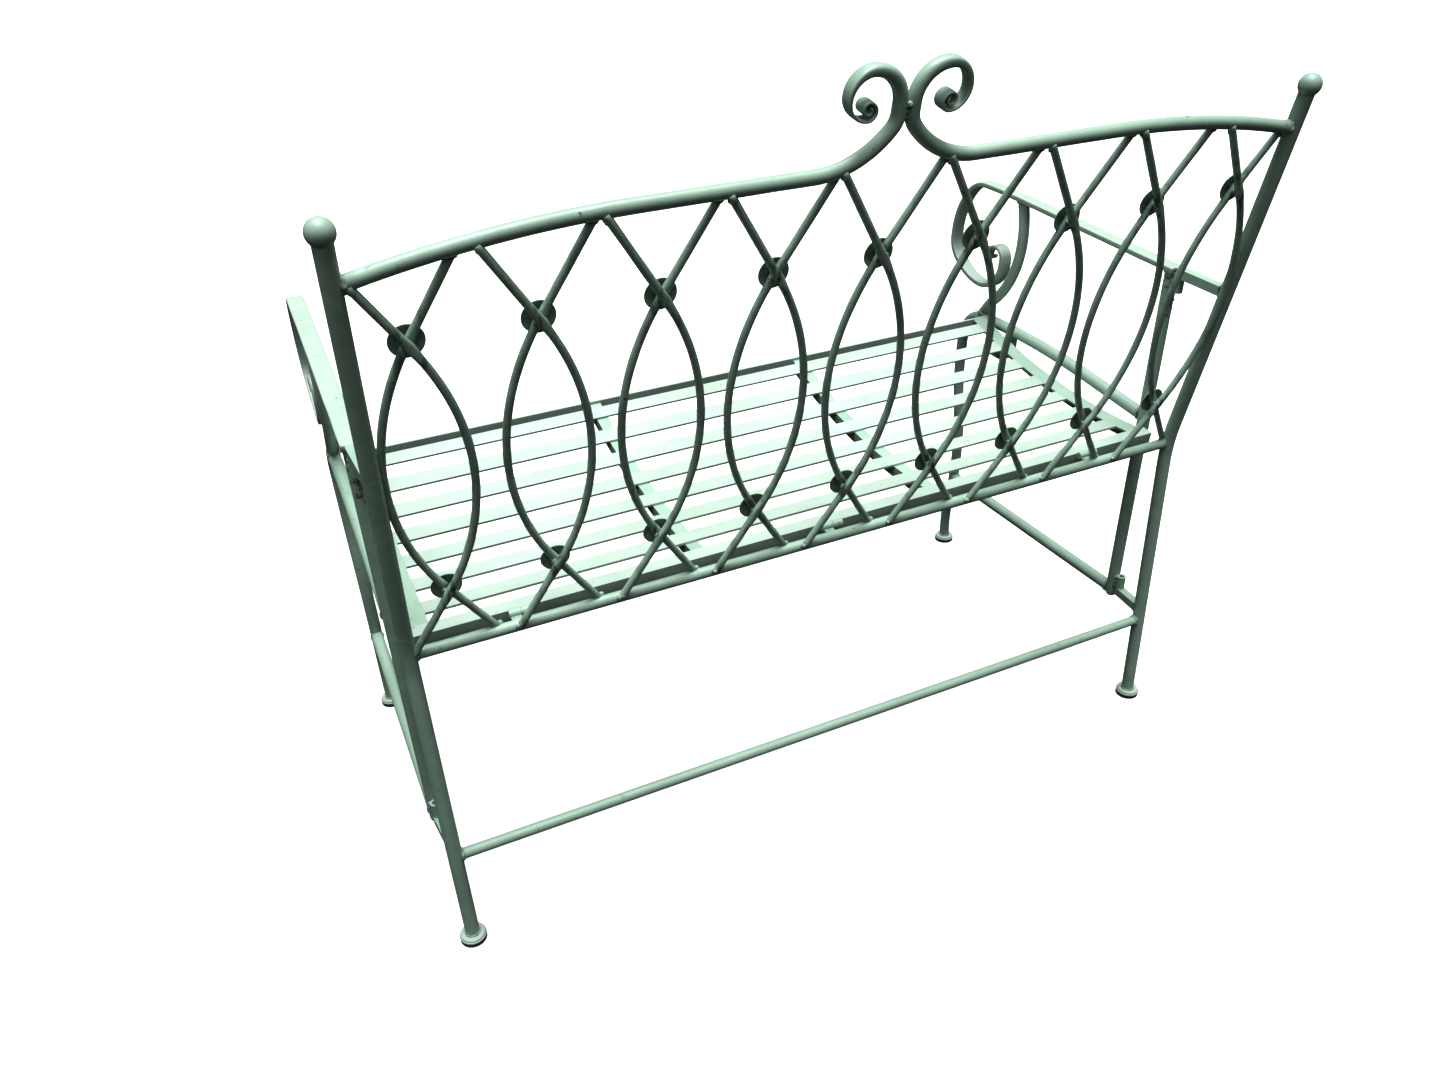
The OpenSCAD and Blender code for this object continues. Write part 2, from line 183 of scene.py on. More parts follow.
def ring(centre, normal, cross, b, a, power, sides):
    """Soft-cornered section round a point: round at power 2, and squarer above it."""
    out = []
    for k in range(sides):
        t = 2 * math.pi * k / sides
        c, s = math.cos(t), math.sin(t)
        u = math.copysign(abs(c) ** (2 / power), c) * b
        v = math.copysign(abs(s) ** (2 / power), s) * a
        out.append(centre + (normal * u + cross * v) * MM)
    return out


def add_band(bm, first, second, material=0):
    """Faces between two closed rows of as many vertices."""
    for k in range(len(first)):
        j = (k + 1) % len(first)
        bm.faces.new((first[k], first[j], second[j], second[k])).material_index = material


def add_sweep(bm, path, place, section, sides, worked, seed, wear_and_shade=None):
    """Sweeps a soft-cornered section along a flat path. place(x, y) gives a point in metres, and
    section(step, distance) gives half thickness in the plane, half width across it and the corner
    power. worked is how uneven the bar is. The last argument, a function of distance, gives the
    mesh's attribute of wear and painted shade."""
    layer = bm.verts.layers.float.new("wear_and_shade") if wear_and_shade else None
    points = [place(x, y) for x, y, _, _ in path]
    flat_u = (place(1, 0) - place(0, 0)).normalized()
    flat_v = (place(0, 1) - place(0, 0)).normalized()
    cross = flat_u.cross(flat_v)
    rings, distance = [], 0.0
    for i, (x, y, h, step) in enumerate(path):
        if i:
            distance += (points[i] - points[i - 1]).length
        normal = flat_v * math.cos(h) - flat_u * math.sin(h)
        b, a, power = section(step, distance)
        wobble = 1 + worked * noise.noise(points[i] * 28 + Vector((seed, 0, seed)))
        around = ring(points[i], normal, cross, b * wobble, a * wobble, power, sides)
        rings.append([bm.verts.new(p) for p in around])
        if wear_and_shade:
            for v in rings[-1]:
                v[layer] = wear_and_shade(distance / MM)
    for index, sign in ((0, -1), (len(path) - 1, 1)):
        x, y, h, step = path[index]
        tangent = (flat_u * math.cos(h) + flat_v * math.sin(h)) * sign
        normal = flat_v * math.cos(h) - flat_u * math.sin(h)
        b, a, power = section(step, 0 if sign < 0 else distance)
        lift = min(a, b) * END_LIFT
        cap = [bm.verts.new(p + tangent * lift * MM)
               for p in ring(points[index], normal, cross, b - lift, a - lift, power, sides)]
        add_band(bm, rings[index], cap)
        bm.faces.new(cap)
    for first, second in zip(rings, rings[1:]):
        add_band(bm, first, second)


def add_blob(bm, centre, radii, axes, seed):
    """A lumpy weld bead: centre in metres, radii in millimetres along three axes."""
    made = bmesh.ops.create_icosphere(bm, subdivisions=3, radius=1.0)["verts"]
    for v in made:
        d = v.co.copy()
        lump = (1 + 0.22 * noise.noise(d * 1.7 + Vector((seed, seed * 0.37, -seed)))
                + 0.07 * noise.noise(d * 5.0 + Vector((0, seed, 0))))
        v.co = centre + sum((axes[k] * (d[k] * radii[k] * lump * MM) for k in range(3)), Vector())


AXES = (Vector((1, 0, 0)), Vector((0, 1, 0)), Vector((0, 0, 1)))
BACK_AXES = (Vector((1, 0, 0)),
             Vector((0, math.cos(LEAN), -math.sin(LEAN))),
             Vector((0, math.sin(LEAN), math.cos(LEAN))))


def add_collar(bm, centre, axis, radius, bead, seed):
    """An uneven ring of weld round a bar: its radius and bead in millimetres, about a point in
    metres."""
    z = axis.normalized()
    x = z.orthogonal().normalized()
    y = z.cross(x)
    around, tube = 40, 10
    grid = []
    for i in range(around):
        t = 2 * math.pi * i / around
        out = x * math.cos(t) + y * math.sin(t)
        size = bead * (1 + 0.35 * noise.noise(out * 2.3 + Vector((seed, 0, seed * 1.3)))
                       + 0.15 * noise.noise(out * 9 + Vector((seed, seed, 0))))
        row = []
        for k in range(tube):
            turn = 2 * math.pi * k / tube
            offset = out * (radius - bead * 0.25 + size * math.cos(turn)) + z * size * math.sin(turn)
            row.append(bm.verts.new(centre + offset * MM))
        grid.append(row)
    for i in range(around):
        add_band(bm, grid[i], grid[(i + 1) % around])


def uneven(rng, size):
    """Three radii about a size."""
    return tuple(size * rng.uniform(0.8, 1.2) for _ in range(3))


# ---------------------------------------------------------------- materials

MIX_FACTOR, MIX_A, MIX_B, MIX_RESULT = 0, 6, 7, 2   # a Mix node's colour sockets


def node(tree, kind, **inputs):
    """A new node with the named inputs or settings."""
    n = tree.nodes.new(kind)
    for key, value in inputs.items():
        if key in n.inputs:
            n.inputs[key].default_value = value
        else:
            setattr(n, key, value)
    return n


def noise_at(tree, coords, scale, detail, rough, stretch=(1, 1, 1), shift=0.0):
    """Noise in the object's own coordinates, as a factor of 0 to 1."""
    mapping = node(tree, "ShaderNodeMapping")
    mapping.inputs["Scale"].default_value = stretch
    mapping.inputs["Location"].default_value = (shift, shift * 0.7, -shift)
    tree.links.new(coords, mapping.inputs["Vector"])
    n = node(tree, "ShaderNodeTexNoise", Scale=scale, Detail=detail, Roughness=rough)
    tree.links.new(mapping.outputs["Vector"], n.inputs["Vector"])
    return n.outputs["Fac"]


def ramp(tree, fac, stops):
    """Colour ramp through (position, grey or colour) stops."""
    r = tree.nodes.new("ShaderNodeValToRGB")
    elements = r.color_ramp.elements
    while len(elements) < len(stops):
        elements.new(0.5)
    for e, (pos, colour) in zip(elements, stops):
        e.position = pos
        e.color = (colour if isinstance(colour, tuple) else (colour,) * 3) + (1.0,)
    tree.links.new(fac, r.inputs["Fac"])
    return r.outputs["Color"]


def mix(tree, fac, a, b, mode="MIX"):
    """Colour between a and b; each of the three may be a socket or a value."""
    m = tree.nodes.new("ShaderNodeMix")
    m.data_type = "RGBA"
    m.blend_type = mode
    for index, value in ((MIX_FACTOR, fac), (MIX_A, a), (MIX_B, b)):
        if isinstance(value, bpy.types.NodeSocket):
            tree.links.new(value, m.inputs[index])
        else:
            m.inputs[index].default_value = value if index == MIX_FACTOR else tuple(value) + (1.0,)
    return m.outputs[MIX_RESULT]


def bump(tree, height, distance, strength, below=None):
    """Normal of a bump, on top of another one if given."""
    b = node(tree, "ShaderNodeBump", Strength=strength, Distance=distance)
    tree.links.new(height, b.inputs["Height"])
    if below is not None:
        tree.links.new(below, b.inputs["Normal"])
    return b.outputs["Normal"]


def shader_tree(name):
    """A new material with its node tree, its shader and its object coordinates."""
    mat = bpy.data.materials.new(name)
    mat.use_nodes = True
    tree = mat.node_tree
    coords = tree.nodes.new("ShaderNodeTexCoord").outputs["Object"]
    return mat, tree, tree.nodes["Principled BSDF"], coords


PAINT_LIGHT = (0.262, 0.385, 0.308)
PAINT_MID = (0.226, 0.338, 0.268)
PAINT_SOFT = (0.203, 0.309, 0.242)
PAINT_DULL = (0.168, 0.262, 0.204)
# near-black of the undercoat for chips and drag marks, and of the painted shade at the rods' ends
UNDERCOAT_AND_SHADE = (0.010, 0.016, 0.013)
PAINTED_TOP_LIGHT_GAIN = (1.26, 1.10, 1.19)      # painted light: how much paler the flats, feet and arms are painted, for the overhead light on them


def paint(name, shift, chips, hammered, grime, worn_and_shaded=False, painted_top_light=False):
    """Sage paint over hammered steel: uneven tone, thin dark drag marks, small chips, soft dents.
    One with streaks also takes dark streaks where the mesh's attribute says so: scuffs along the
    rods, most near their crossings, and painted shade at their ends. One with painted top light is
    painted paler, for the overhead light on it. shift moves all its patterns."""
    mat, tree, shader, coords = shader_tree(name)
    tone = noise_at(tree, coords, 6, 4, 0.6, shift=shift)
    # painted light: the paler copy of the paint stands in for the overhead light on the flats, feet
    # and arms
    top_light_gain = PAINTED_TOP_LIGHT_GAIN if painted_top_light else (1, 1, 1)
    soft, middle, pale = (tuple(c * k for c, k in zip(tint, top_light_gain))
                          for tint in (PAINT_SOFT, PAINT_MID, PAINT_LIGHT))
    colour = ramp(tree, tone, [(0.30, soft), (0.47, middle), (0.68, pale)])
    blotch = noise_at(tree, coords, 45, 5, 0.65, shift=shift + 3)
    dull = ramp(tree, blotch, [(0.52, 0.0), (0.75, 0.45 * grime)])
    colour = mix(tree, dull, colour, PAINT_DULL)
    drag = noise_at(tree, coords, 22, 5, 0.7, stretch=(4.0, 4.0, 0.8), shift=shift + 9)
    dark = ramp(tree, drag, [(0.66 - 0.05 * grime, 0.0), (0.78, 0.75)])
    # dark streaks from the mesh's attribute: scuffs along the rods, most near their crossings, and
    # painted shade at the rods' ends
    if worn_and_shaded:
        where = node(tree, "ShaderNodeAttribute", attribute_name="wear_and_shade").outputs["Fac"]
        streak_noise = noise_at(tree, coords, 95, 4, 0.6, stretch=(1.0, 1.0, 0.28), shift=shift + 31)
        streak = ramp(tree, streak_noise, [(0.50, 0.0), (0.60, 0.9)])
        dark = mix(tree, 1.0, dark, mix(tree, where, (0, 0, 0), streak), "LIGHTEN")
    colour = mix(tree, dark, colour, UNDERCOAT_AND_SHADE)
    chip_noise = noise_at(tree, coords, 170, 3, 0.6, shift=shift + 21)
    chip = ramp(tree, chip_noise, [(0.735 - 0.05 * chips, 0.0), (0.76 - 0.05 * chips, 0.9)])
    colour = mix(tree, chip, colour, UNDERCOAT_AND_SHADE)
    tree.links.new(colour, shader.inputs["Base Color"])
    sheen = noise_at(tree, coords, 60, 4, 0.6, shift=shift + 5)
    rough = ramp(tree, sheen, [(0.3, 0.36), (0.7, 0.54)])
    rough = mix(tree, dark, rough, (0.75, 0.75, 0.75))
    tree.links.new(rough, shader.inputs["Roughness"])
    dents = noise_at(tree, coords, 55, 2, 0.4, shift=shift + 7)
    peel = noise_at(tree, coords, 520, 2, 0.5, shift=shift + 13)
    normal = bump(tree, dents, 0.0018 * hammered, 0.5)
    normal = bump(tree, peel, 0.00022, 0.35, normal)
    normal = bump(tree, chip, 0.00025, 0.6, normal)
    tree.links.new(normal, shader.inputs["Normal"])
    shader.inputs["Specular IOR Level"].default_value = 0.5
    return mat


def weld_paint(name):
    """Paint over rough weld: lumpier, with darker hollows."""
    mat, tree, shader, coords = shader_tree(name)
    lumps = noise_at(tree, coords, 240, 4, 0.6)
    colour = ramp(tree, lumps,
                  [(0.34, (0.10, 0.15, 0.125)), (0.5, PAINT_DULL), (0.66, PAINT_LIGHT)])
    tree.links.new(colour, shader.inputs["Base Color"])
    tree.links.new(ramp(tree, lumps, [(0.3, 0.65), (0.7, 0.42)]), shader.inputs["Roughness"])
    tree.links.new(bump(tree, lumps, 0.0012, 0.6), shader.inputs["Normal"])
    return mat


def bare_weld(name):
    """Grey rough metal where the paint is burnt off a weld."""
    mat, tree, shader, coords = shader_tree(name)
    lumps = noise_at(tree, coords, 300, 5, 0.65)
    colour = ramp(tree, lumps, [(0.3, (0.05, 0.055, 0.05)), (0.62, (0.28, 0.30, 0.28))])
    tree.links.new(colour, shader.inputs["Base Color"])
    tree.links.new(ramp(tree, lumps, [(0.3, 0.7), (0.7, 0.45)]), shader.inputs["Roughness"])
    tree.links.new(bump(tree, lumps, 0.0015, 0.7), shader.inputs["Normal"])
    shader.inputs["Metallic"].default_value = 0.6
    return mat


def dark_primer_and_shade(name):
    """Near-black inside the rosettes: dark primer where no paint has reached, darkened further
    as painted shade for their shaded hollows, with dusty rims.
    """
    mat, tree, shader, coords = shader_tree(name)
    dust = noise_at(tree, coords, 150, 4, 0.6)
    colour = ramp(tree, dust, [(0.42, (0.003, 0.006, 0.0045)), (0.75, (0.018, 0.032, 0.024))])
    tree.links.new(colour, shader.inputs["Base Color"])
    tree.links.new(ramp(tree, dust, [(0.3, 0.45), (0.7, 0.75)]), shader.inputs["Roughness"])
    tree.links.new(bump(tree, dust, 0.0005, 0.4), shader.inputs["Normal"])
    shader.inputs["Specular IOR Level"].default_value = 0.1
    return mat


def rubber(name):
    """Dull black rubber with a fine grain."""
    mat, tree, shader, coords = shader_tree(name)
    grain = noise_at(tree, coords, 120, 5, 0.6)
    colour = ramp(tree, grain, [(0.3, (0.012, 0.012, 0.013)), (0.7, (0.045, 0.045, 0.043))])
    tree.links.new(colour, shader.inputs["Base Color"])
    tree.links.new(ramp(tree, grain, [(0.3, 0.62), (0.7, 0.85)]), shader.inputs["Roughness"])
    tree.links.new(bump(tree, grain, 0.0006, 0.4), shader.inputs["Normal"])
    return mat


def floor_material(name):
    """Pale matt studio floor, lifted a little so that shadows on it stay faint."""
    mat, tree, shader, coords = shader_tree(name)
    cloud = noise_at(tree, coords, 1.5, 3, 0.5)
    colour = ramp(tree, cloud, [(0.3, (0.64, 0.64, 0.637)), (0.7, (0.67, 0.67, 0.667))])
    tree.links.new(colour, shader.inputs["Base Color"])
    tree.links.new(ramp(tree, cloud, [(0.3, 0.9), (0.7, 1.0)]), shader.inputs["Roughness"])
    shader.inputs["Specular IOR Level"].default_value = 0.1
    shader.inputs["Emission Color"].default_value = (1.0, 1.0, 0.995, 1.0)
    shader.inputs["Emission Strength"].default_value = 0.35
    return mat


MAT = {
    "bar": paint("sage_bars", 0.0, 0.5, 0.7, 0.5),
    "rod": paint("sage_rods", 2.0, 0.9, 0.8, 1.0, worn_and_shaded=True),
    # painted light: the flats take the paler copy of the paint
    "flat": paint("sage_flats", 4.0, 0.2, 0.25, 0.15, painted_top_light=True),
    "frame_flat": paint("sage_angles", 6.0, 0.3, 0.3, 0.3),
    # painted light: the arms take the paler copy of the paint too
    "arm": paint("sage_arms", 8.0, 0.4, 0.9, 0.5, painted_top_light=True),
    "rosette": paint("sage_rosettes", 10.0, 0.7, 0.5, 1.0),
    # near-black inside the rosettes: dark primer with painted shade
    "hollow": dark_primer_and_shade("dark_hollow"),
    "weld": weld_paint("sage_welds"),
    "bare": bare_weld("burnt_welds"),
    "rubber": rubber("black_rubber"),
}


def finish_with(obj, key):
    """Gives the piece one of the materials above."""
    obj.data.materials.clear()
    obj.data.materials.append(MAT[key])


# ---------------------------------------------------------------- pieces

def top_rail(side, word):
    """Half of the top rail: a round bar hammered flat on its way into the curl of the scroll."""
    def place(u, w):
        return on_back(side * (TOP_END - u), w)

    flat_half, tip_thinner, wider, squarer = 1.6, 0.45, 0.4, 3.5

    def section(step, _):
        t = along(step, 5.2, 2.2)
        t = t * t * (3 - 2 * t)
        thin = tip_thinner * along(step, 8.0, 2.5)
        return TOP_R + (flat_half - TOP_R) * t - thin, TOP_R + wider * t, 2 + squarer * t

    bm = bmesh.new()
    path = plane_path((0, rail_s(TOP_END)), TOP_END_ANGLE, TOP_STEPS, 3.5)
    add_sweep(bm, path, place, section, sides=28, worked=0.02, seed=11.0 * side)
    obj = new_object(f"top_rail_bar_{word}", bm, "frame")
    finish_with(obj, "bar")
    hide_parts(f"top_rail_{word}")


def lattice_rod(number, side, node_name):
    """One bowed rod, which leans to its side on its way up: 1 in the rear layer, -1 in the front
    one. It is pressed a little flat and scuffed where it crosses its partner, and darkened at its
    ends as painted shade where they meet the rails. Lengths along it are in millimetres."""
    x0 = pair_x(number)
    cos = math.cos(math.radians(ROD_ANGLE))
    low_len = (LOWER - ROD_SINK) / cos
    top_len = (rod_top(x0, side) - UPPER) / cos
    arc_len = ROD_BEND * math.radians(2 * ROD_ANGLE)
    pressed_len, worn_len, painted_end_shade_len = 9.5, 26.0, 9.0

    def to_crossing(d):
        return min(abs(d - low_len), abs(d - low_len - arc_len))

    def place(x, y):
        return on_back(x0 - side * x, y, side * LAYER)

    def section(_, distance):
        flat = math.exp(-(to_crossing(distance / MM) / pressed_len) ** 2)
        return ROD_R * (1 + 0.20 * flat), ROD_R * (1 - 0.16 * flat), 2 + 1.2 * flat

    # scuffs along the rod, most near the crossings, and painted shade over the last millimetres of
    # each end, where the rod meets a rail
    def wear_and_shade(d):
        end = min(d, low_len + arc_len + top_len - d)
        return min(1.0, 0.25 + 0.75 * math.exp(-(to_crossing(d) / worn_len) ** 2)
                   + 0.8 * math.exp(-(end / painted_end_shade_len) ** 2))

    start = (-(LOWER - ROD_SINK) * SLOPE, ROD_SINK)
    steps = [(0, low_len), (ROD_BEND, 2 * ROD_ANGLE), (0, top_len)]
    bm = bmesh.new()
    add_sweep(bm, plane_path(start, 90 - ROD_ANGLE, steps, 4.0), place, section,
              sides=18, worked=0.05, seed=number * 3.1 + side, wear_and_shade=wear_and_shade)
    obj = new_object(f"bowed_{node_name}", bm, "frame")
    finish_with(obj, "rod")
    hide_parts(node_name)


def rosettes():
    """Pressed rosettes: a thin round dome with faint petals in front, hollow behind, where the
    inner sheet is near-black: dark primer with painted shade.
    """
    radial, around, petals = 9, 56, 8
    radius, dome, relief, thick, inner_less = 16.0, 5.4, 0.45, 0.95, 0.3
    rim_n = -(LAYER + ROD_R - 0.6)
    bm = bmesh.new()
    rng = random.Random(5)

    def sheet(x0, s, turn, inner):
        rows = []
        for r in range(1, radial + 1):
            q = r / radial
            row = []
            for k in range(around):
                t = 2 * math.pi * k / around
                petal = relief * abs(math.cos(petals * t / 2 + turn)) * q * (1 - q)
                lift = dome * (1 - q ** 2.4) + petal
                n = rim_n - lift + (thick if inner else 0.0)
                rad = (radius - inner_less if inner else radius) * q
                row.append(bm.verts.new(on_back(x0 + rad * math.cos(t), s + rad * math.sin(t), n)))
            rows.append(row)
        for first, second in zip(rows, rows[1:]):
            add_band(bm, first, second, int(inner))
        bm.faces.new(rows[0]).material_index = int(inner)
        return rows[-1]

    for i in range(1, PAIRS + 1):
        for s in (LOWER, UPPER):
            x0 = pair_x(i)
            turn = rng.uniform(0, math.pi)
            add_band(bm, sheet(x0, s, turn, False), sheet(x0, s, turn, True))
            button = on_back(x0, s, -(LAYER + ROD_R + dome))
            add_blob(bm, button, (4.2, 1.9, 4.2), BACK_AXES, i + s)
    obj = new_object("pressed_rosettes", bm, "frame")
    finish_with(obj, "rosette")
    # the inner sheet: dark primer with painted shade
    obj.data.materials.append(MAT["hollow"])
    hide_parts("rosettes")


def arm(side, word):
    """Flat hammered arm bar that rolls into the big front scroll and thins towards its tip."""
    def place(f, z):
        return on_side(side, f, z)

    half_thick, half_wide, corner = 4.0, 10.0, 7

    def section(step, _):
        t = along(step, 6.5, 3.5)
        return half_thick - 1.3 * t, half_wide - 0.8 * t, corner - 2 * t

    bm = bmesh.new()
    path = plane_path(ARM_START, ARM_HEADING, ARM_STEPS, 3.5)
    add_sweep(bm, path, place, section, sides=36, worked=0.03, seed=21.0 * side)
    obj = new_object(f"arm_bar_{word}", bm, f"side_{word}")
    finish_with(obj, "arm")
    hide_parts(f"arm_{word}")


def frame_welds():
    """Beads where the rods, rails, posts, stubs and finials meet."""
    rng = random.Random(12)
    bm = bmesh.new()

    def bead(x, s, n, size):
        add_blob(bm, on_back(x, s, n), uneven(rng, size), BACK_AXES, rng.uniform(0, 50))

    for i in range(1, PAIRS + 1):
        x0 = pair_x(i)
        for s in (LOWER, UPPER):    # the crossings
            for dx in (-3.2, 3.2):
                bead(x0 + dx, s + rng.uniform(-1, 1), 0.0, 3.0)
            bead(x0, s - 4.6, 0.5, 2.8)
            bead(x0, s + 0.5, -LAYER - ROD_R, 3.2)
        for side in (1, -1):        # the rods' ends, rear rod first
            bead(x0 + side * (LOWER - 5) * SLOPE, 6.0, side * LAYER, 3.9)
            bead(x0 + side * (LOWER - 4) * SLOPE + side * 4, 4.6, side * (LAYER + 2), 2.9)
            top = rod_top(x0, side)
            bead(x0 + side * (top - UPPER - 4) * SLOPE, top - 5.5, side * (LAYER - 0.8), 3.8)
    for side in (-1, 1):            # bottom rail, stretcher, top rail, finial and foot
        inner = side * (POST_X - POST_SKIN)
        stretcher = Vector((inner, post_y(STRETCHER_Z), STRETCHER_Z)) * MM
        top_end = on_back(side * (POST_X - 8.8), rail_s(TOP_END - 1))
        foot = Vector((side * POST_X, DEPTH_SHIFT + 19.9, FOOT_TOP)) * MM
        add_collar(bm, on_back(inner, 0), AXES[0], 6.5, 2.1, 3 + side)
        add_collar(bm, stretcher, AXES[0], 6.5, 2.1, 7 + side)
        add_collar(bm, top_end, AXES[0], 7.0, 2.1, 11 + side)
        add_collar(bm, on_back(side * POST_X, 457.0), BACK_AXES[2], 7.3, 1.7, 15 + side)
        add_collar(bm, foot, AXES[2], *FOOT_RING, 19 + side)
    between_scrolls = ((492.0, 1.6, 2.2), (497.0, 1.8, 2.1), (504.5, 4.4, 2.7),
                       (492.0, -1.8, 2.2), (503.0, -4.0, 2.6))
    for s, n, size in between_scrolls:
        bead(rng.uniform(-0.4, 0.4), s, n, size)
    obj = new_object("weld_beads_back", bm, "frame")
    finish_with(obj, "weld")


def stub_welds():
    """Beads between the square stubs and the posts, each at the stub's upper and lower edges."""
    rng = random.Random(31)
    bm = bmesh.new()
    for side in (1, -1):
        for top in (156.0, 637.5):  # heights of the stubs' upper faces
            y = post_y(top - 6) - POST_SKIN
            for dz in (-0.5, -11.5):
                for dx in (-4, 0, 4):
                    c = Vector((side * (POST_X + 0.6) + dx, y + abs(dx) * 0.3, top + dz)) * MM
                    add_blob(bm, c, (2.8, 2.2, 2.1), AXES, rng.uniform(0, 90))
    obj = new_object("weld_beads_stubs", bm, "frame")
    finish_with(obj, "weld")


UPRIGHT_F = 51                  # forward place of an arm frame's upright
SCORCH_AT = ((-78, 622), (-60, 611), (-52, 624), (-44, 598), (-70, 588), (-36, 606), (40, 620),
             (58, 608), (74, 618), (48, 596), (0, 588), (22, 581), (-18, 574))   # turn, height
SCORCH_R = 7.7                  # their middles lie just inside the upright's skin


def side_welds(side, word):
    """Beads on an arm frame: rail, leg, stretcher, arm, support and knuckle joints, and burnt
    weld with scorched paint at the upright's top."""
    rng = random.Random(40 + side)
    bm = bmesh.new()

    def bead(f, z, out, size):
        add_blob(bm, on_side(side, f, z, out), uneven(rng, size), AXES, rng.uniform(0, 90))

    forward, down_forward = Vector((0, -1, 0)), Vector((0, -0.5, -1))
    rings = (                                           # forward, height, axis, radius, bead, seed
        (59.7, 429.9, forward, 8.3, 2.2, 1),            # seat rail on the upright
        (59.7, 145.8, forward, 8.3, 2.2, 2),            # stretcher on the upright
        (448.6, 136.2, forward, 8.3, 2.2, 3),           # stretcher on the front leg
        (UPRIGHT_F, 628.6, AXES[2], 8.2, 2.2, 4),       # upright under the arm
        (349.4, 644.0, AXES[2], 7.7, 2.4, 5),           # support under the arm
        (415.3, 455.0, down_forward, 8.0, 2.4, 6),      # support on the front leg
        (467.4, FOOT_TOP, AXES[2], *FOOT_RING, 8))      # foot
    for f, z, axis, radius, size, seed in rings:
        add_collar(bm, on_side(side, f, z), axis, radius, size, seed)
    for z in (159, 165, 171, 608, 614, 620):
        for out in (-4.6, 4.6):
            bead(42.6, z + rng.uniform(-1, 1), out, 2.5)
    obj = new_object(f"weld_beads_side_{word}", bm, f"side_{word}")
    finish_with(obj, "weld")
    burnt = bmesh.new()
    for dz in (0, 3.4, 6.8):
        centre = on_side(side, 43.4 - dz * 0.2, 601.5 - dz, rng.uniform(-1, 1))
        add_blob(burnt, centre, (3.0, 2.6, 2.8), AXES, rng.uniform(0, 90))
    for dx in (-5, 0, 5):
        centre = on_side(side, 50 + rng.uniform(-2, 2), 626.8, dx)
        add_blob(burnt, centre, (2.4, 3.6, 1.6), AXES, rng.uniform(0, 90))
    for turn, z in SCORCH_AT:
        t = math.radians(turn)
        radial = Vector((side * math.sin(t), math.cos(t), 0))
        centre = on_side(side, UPRIGHT_F - SCORCH_R * math.cos(t), z, SCORCH_R * math.sin(t))
        radii = (0.9, rng.uniform(2.2, 3.6), rng.uniform(3.0, 6.5))
        add_blob(burnt, centre, radii, (radial, AXES[2].cross(radial), AXES[2]), rng.uniform(0, 90))
    obj = new_object(f"burnt_weld_{word}", burnt, f"side_{word}")
    finish_with(obj, "bare")


def hinge_welds():
    """Beads that hold the seat hinge barrels to the rail and to the seat."""
    rng = random.Random(77)
    half_pin = 12
    hinge_x = (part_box("seat_pins")[1][0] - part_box("seat_pins")[0][0]) / 2 / MM - half_pin
    rows = (("rail", "frame", 1, 6.6, 418.6, (2.6, 2.3, 1.3)),
            ("seat", "seat", -1, 18.4, 420.8, (2.6, 1.3, 0.9)))
    for word, body, sign, in_front, z, radii in rows:
        bm = bmesh.new()
        for centre in (-hinge_x, 0, hinge_x):
            for x in (3, 6.5, 10):
                place = Vector((centre + sign * x, DEPTH_SHIFT - in_front, z)) * MM
                add_blob(bm, place, radii, AXES, rng.uniform(0, 90))
        obj = new_object(f"weld_beads_{word}_hinge", bm, body)
        finish_with(obj, "weld")


def dress_cad_nodes():
    """The CAD nodes get their paint, and those with sharp edges get softened ones."""
    small_edge, round_edge = 0.0006, 0.0012
    flats = {"slats", "seat_front", "seat_rear"}
    feet = {"rear_feet", "front_foot_left", "front_foot_right"}
    stubs = {"stubs_left", "stubs_right"}
    angles = {"seat_side_left", "seat_side_right", "cross_members", "rest_lug_left",
              "rest_lug_right"} | stubs
    bevelled = {name: round_edge if name in stubs else small_edge for name in flats | angles}
    for name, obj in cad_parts.items():
        if "pad" in name:
            finish_with(obj, "rubber")
            bevelled[name] = round_edge
        # painted light: the flats and feet take the paler copy of the paint
        elif name in flats | feet:
            finish_with(obj, "flat")
        elif name in angles:
            finish_with(obj, "frame_flat")
        elif "rod" in name:
            finish_with(obj, "rod")
        elif "arm" in name:
            finish_with(obj, "arm")
        else:
            finish_with(obj, "bar")
        if name in bevelled:
            edge = obj.modifiers.new("soft_edges", "BEVEL")
            edge.width = bevelled[name]
            edge.segments = 2
            edge.limit_method = "ANGLE"
            edge.angle_limit = math.radians(40)


for side_sign, side_word in ((1, "left"), (-1, "right")):
    top_rail(side_sign, side_word)
    arm(side_sign, side_word)
    side_welds(side_sign, side_word)
for index in range(1, PAIRS + 1):
    lattice_rod(index, 1, f"rod_rear_{index}")
    lattice_rod(index, -1, f"rod_front_{index}")
rosettes()
frame_welds()
stub_welds()
hinge_welds()
dress_cad_nodes()


# ---------------------------------------------------------------- stage, light and camera

def stage():
    """The studio floor, which no light bounces off onto the bench."""
    mesh = bpy.data.meshes.new("studio_floor")
    r = 60.0
    mesh.from_pydata([(-r, -r, 0), (r, -r, 0), (r, r, 0), (-r, r, 0)], [], [(0, 1, 2, 3)])
    floor = bpy.data.objects.new("studio_floor", mesh)
    bpy.context.scene.collection.objects.link(floor)
    floor.data.materials.append(floor_material("studio_floor"))
    floor.visible_diffuse = False
    floor.visible_glossy = False


def sun(name, towards, spread, strength):
    """A distant light that shines towards a direction, spread over an angle in degrees."""
    data = bpy.data.lights.new(name, "SUN")
    data.angle = math.radians(spread)
    data.energy = strength
    obj = bpy.data.objects.new(name, data)
    obj.rotation_euler = Vector(towards).to_track_quat("-Z", "Y").to_euler()
    bpy.context.scene.collection.objects.link(obj)


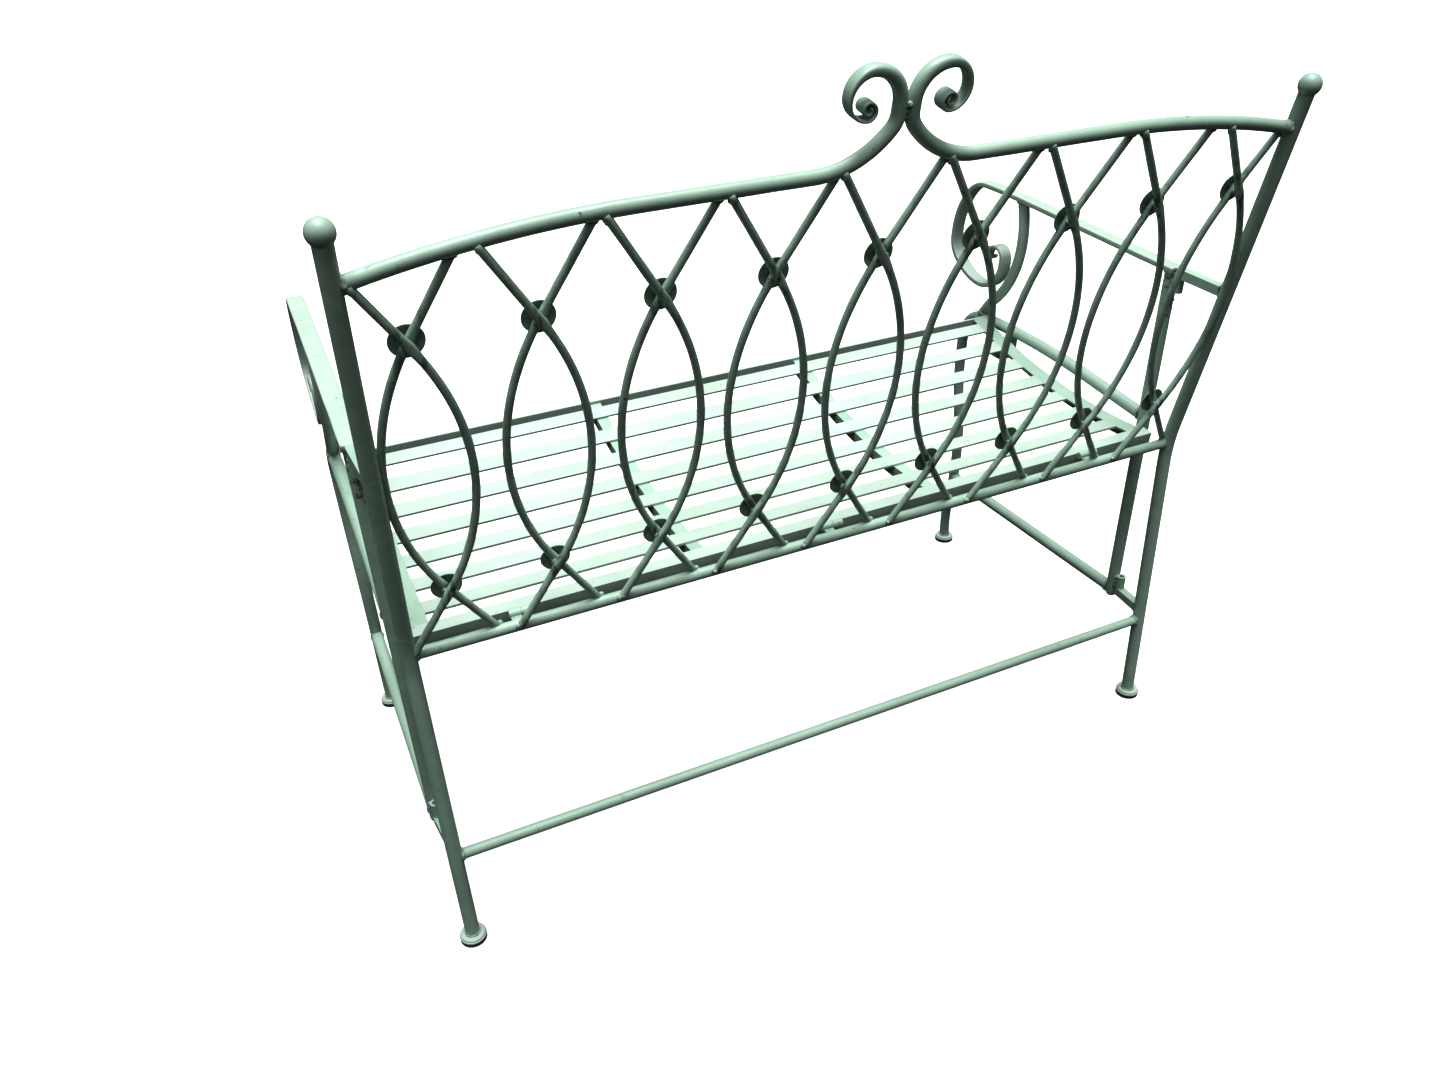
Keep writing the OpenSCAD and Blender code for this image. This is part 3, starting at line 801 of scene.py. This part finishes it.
def light():
    """A broad overhead softbox, weak fills, a room that is dim near the floor, and a pale backdrop
    that only the camera sees."""
    world = bpy.data.worlds.new("studio")
    world.use_nodes = True
    tree = world.node_tree
    direction = node(tree, "ShaderNodeTexCoord").outputs["Generated"]
    split = node(tree, "ShaderNodeSeparateXYZ")
    tree.links.new(direction, split.inputs[0])
    height = node(tree, "ShaderNodeMapRange")
    height.inputs["From Min"].default_value = -1.0
    tree.links.new(split.outputs["Z"], height.inputs["Value"])
    room = ramp(tree, height.outputs["Result"],
                [(0.0, 0.002), (0.48, 0.006), (0.62, 0.06), (1.0, 0.34)])
    glow = tree.nodes["Background"]
    tree.links.new(room, glow.inputs["Color"])
    backdrop = node(tree, "ShaderNodeBackground", Color=(1.0, 1.0, 1.0, 1.0))
    seen = node(tree, "ShaderNodeLightPath").outputs["Is Camera Ray"]
    either = node(tree, "ShaderNodeMixShader")
    for source, target in ((seen, either.inputs[0]), (glow.outputs[0], either.inputs[1]),
                           (backdrop.outputs[0], either.inputs[2]),
                           (either.outputs[0], tree.nodes["World Output"].inputs["Surface"])):
        tree.links.new(source, target)
    bpy.context.scene.world = world
    sun("overhead", (0.02, -0.02, -1.0), 44, 7.8)
    sun("rear_fill", (-0.15, -1.0, -0.75), 40, 0.32)
    sun("front_fill", (0.15, 1.0, -0.75), 50, 0.10)
    sun("left_window", (-1.0, -0.35, -0.55), 60, 0.25)


# the photograph's camera: focal length and image width in pixels, place in metres, and the
# direction, height angle and roll of its view in radians
FOCAL_PX = 1112.95
IMAGE_W = 1445
SENSOR = 36.0
CAMERA_AT = Vector((0.56581, 0.95413 + DEPTH_SHIFT * MM, 1.10732))
CAMERA_AZ, CAMERA_EL, CAMERA_ROLL = -0.414, 0.565, 0.036


def camera():
    """A camera at the photograph's place and angle."""
    data = bpy.data.cameras.new("photo_camera")
    data.sensor_width = SENSOR
    data.lens = SENSOR * FOCAL_PX / IMAGE_W
    data.clip_start = 0.05
    obj = bpy.data.objects.new("photo_camera", data)
    az, el, roll = CAMERA_AZ, CAMERA_EL, CAMERA_ROLL
    forward = Vector((math.cos(el) * math.sin(az), -math.cos(el) * math.cos(az), -math.sin(el)))
    right = forward.cross(Vector((0, 0, 1))).normalized()
    down = forward.cross(right)
    r2 = right * math.cos(roll) + down * math.sin(roll)
    d2 = down * math.cos(roll) - right * math.sin(roll)
    up, back = -d2, -forward
    obj.matrix_world = Matrix(((r2.x, up.x, back.x, CAMERA_AT.x),
                               (r2.y, up.y, back.y, CAMERA_AT.y),
                               (r2.z, up.z, back.z, CAMERA_AT.z),
                               (0, 0, 0, 1)))
    bpy.context.scene.collection.objects.link(obj)
    bpy.context.scene.camera = obj


stage()
light()
camera()
bpy.context.scene.view_settings.view_transform = "Standard"
bpy.context.scene.view_settings.gamma = 0.9
